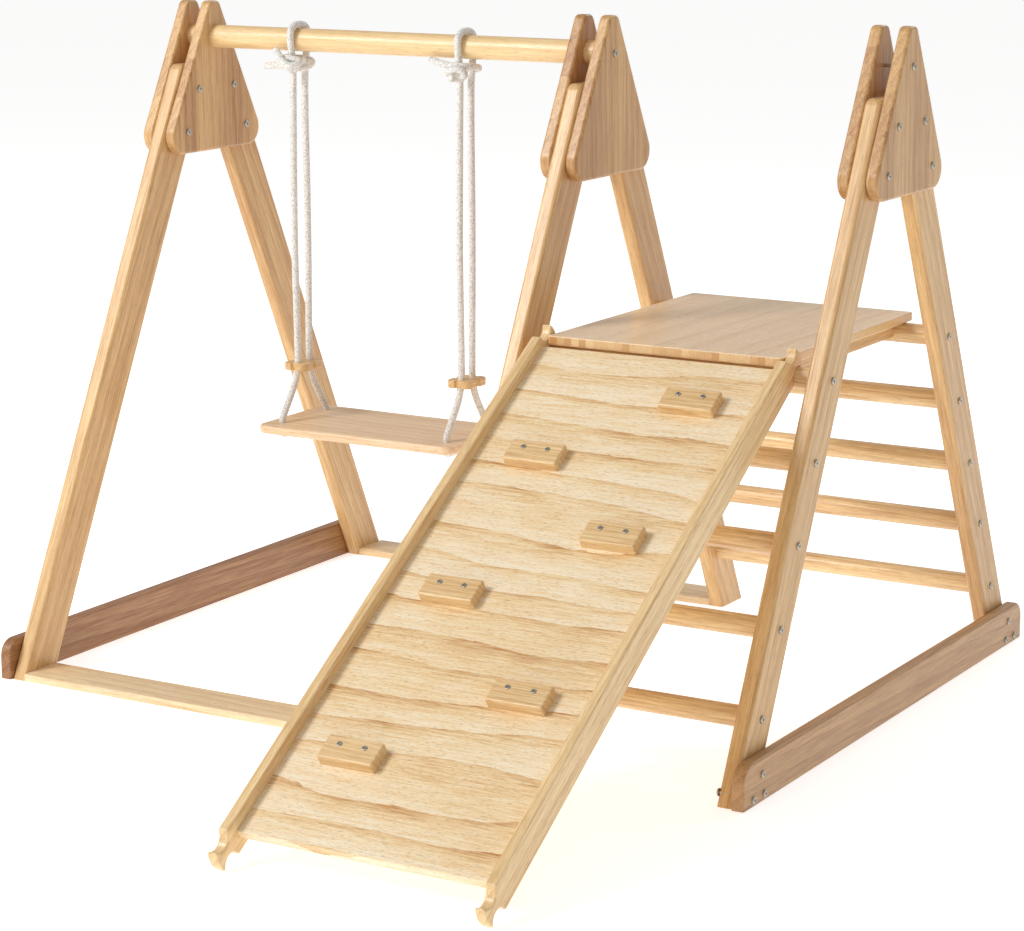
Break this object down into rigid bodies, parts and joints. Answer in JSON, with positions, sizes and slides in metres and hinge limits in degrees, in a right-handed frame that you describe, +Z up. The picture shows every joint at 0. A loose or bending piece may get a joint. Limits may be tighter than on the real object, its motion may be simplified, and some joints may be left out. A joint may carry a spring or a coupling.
{
  "type": "indoor swing set",
  "caption": "Wooden toddler swing set: rope swing on a crossbar between A-frames, with two rung ladders, a lift-off platform and a hook-on climbing ramp.",
  "frame": {"origin": "bottom centre of the whole set's box, on the floor", "axes": "+X along the crossbar from the swing towards the ladders, +Y from the ramp's foot towards the back, +Z up"},
  "size_m": [1.471, 1.8176, 1.165],
  "materials": {
    "leg_wood": "satin varnished light hardwood, grain along the leg",
    "plate_wood": "satin varnished edge-glued light wood, upright staves",
    "rail_wood": "satin varnished light wood, grain along the board",
    "rung_wood": "satin varnished turned light wood",
    "platform_wood": "smooth satin varnished light wood",
    "ramp_wood": "satin varnished rotary cut plywood face, wavy grain across",
    "ramp_trim_wood": "satin varnished light wood",
    "seat_wood": "satin varnished light wood",
    "dowel_wood": "plain unvarnished beech",
    "rope": "white braided rope with darker flecks",
    "zinc_steel": "zinc plated, slightly dull"
  },
  "bodies": {
    "frame": {"leg_left_front": "leg_wood", "leg_left_rear": "leg_wood", "leg_middle_front": "leg_wood", "leg_middle_rear": "leg_wood", "leg_right_front": "leg_wood", "leg_right_rear": "leg_wood", "plate_left_a": "plate_wood", "plate_left_b": "plate_wood", "plate_middle_a": "plate_wood", "plate_middle_b": "plate_wood", "plate_right_a": "plate_wood", "plate_right_b": "plate_wood", "base_board_left": "rail_wood", "base_board_right": "rail_wood", "floor_rail_front": "rail_wood", "floor_rail_rear": "rail_wood", "crossbar": "rung_wood", "rung_front_1": "rung_wood", "rung_front_2": "rung_wood", "rung_front_3": "rung_wood", "rung_front_4": "rung_wood", "rung_front_5": "rung_wood", "rung_rear_1": "rung_wood", "rung_rear_2": "rung_wood", "rung_rear_3": "rung_wood", "rung_rear_4": "rung_wood", "rung_rear_5": "rung_wood", "plate_bolts": "zinc_steel", "crossbar_bolts": "zinc_steel", "rung_bolts": "zinc_steel", "base_board_bolts": "zinc_steel", "foot_bolts": "zinc_steel", "floor_rail_dowels": "dowel_wood"},
    "platform": {"platform_board": "platform_wood", "platform_batten_left": "platform_wood", "platform_batten_right": "platform_wood", "batten_screws": "zinc_steel"},
    "ramp": {"ramp_board": "ramp_wood", "ramp_rail_left": "ramp_trim_wood", "ramp_rail_right": "ramp_trim_wood", "climbing_block_1": "ramp_trim_wood", "climbing_block_2": "ramp_trim_wood", "climbing_block_3": "ramp_trim_wood", "climbing_block_4": "ramp_trim_wood", "climbing_block_5": "ramp_trim_wood", "climbing_block_6": "ramp_trim_wood", "ramp_dowels": "dowel_wood", "climbing_block_screws": "zinc_steel"},
    "swing": {"swing_seat": "seat_wood", "swing_spacer_left": "seat_wood", "swing_spacer_right": "seat_wood", "swing_rope_left": "rope", "swing_rope_right": "rope", "swing_knot_left": "rope", "swing_knot_right": "rope"}
  },
  "joints": [
    {"name": "swing_hinge", "type": "hinge", "parent": "frame", "child": "swing", "pos_m": [-0.2965, 0.31895, 1.1], "axis": [1, 0, 0], "range_deg": [-40, 40]},
    {"name": "ramp_hinge", "type": "hinge", "parent": "frame", "child": "ramp", "pos_m": [0.4165, 0.07619, 0.617], "axis": [-1, 0, 0], "range_deg": [0, 20]},
    {"name": "platform_lift", "type": "slide", "parent": "frame", "child": "platform", "axis": [0, 0, 1], "range_m": [0, 0.05]}
  ]
}
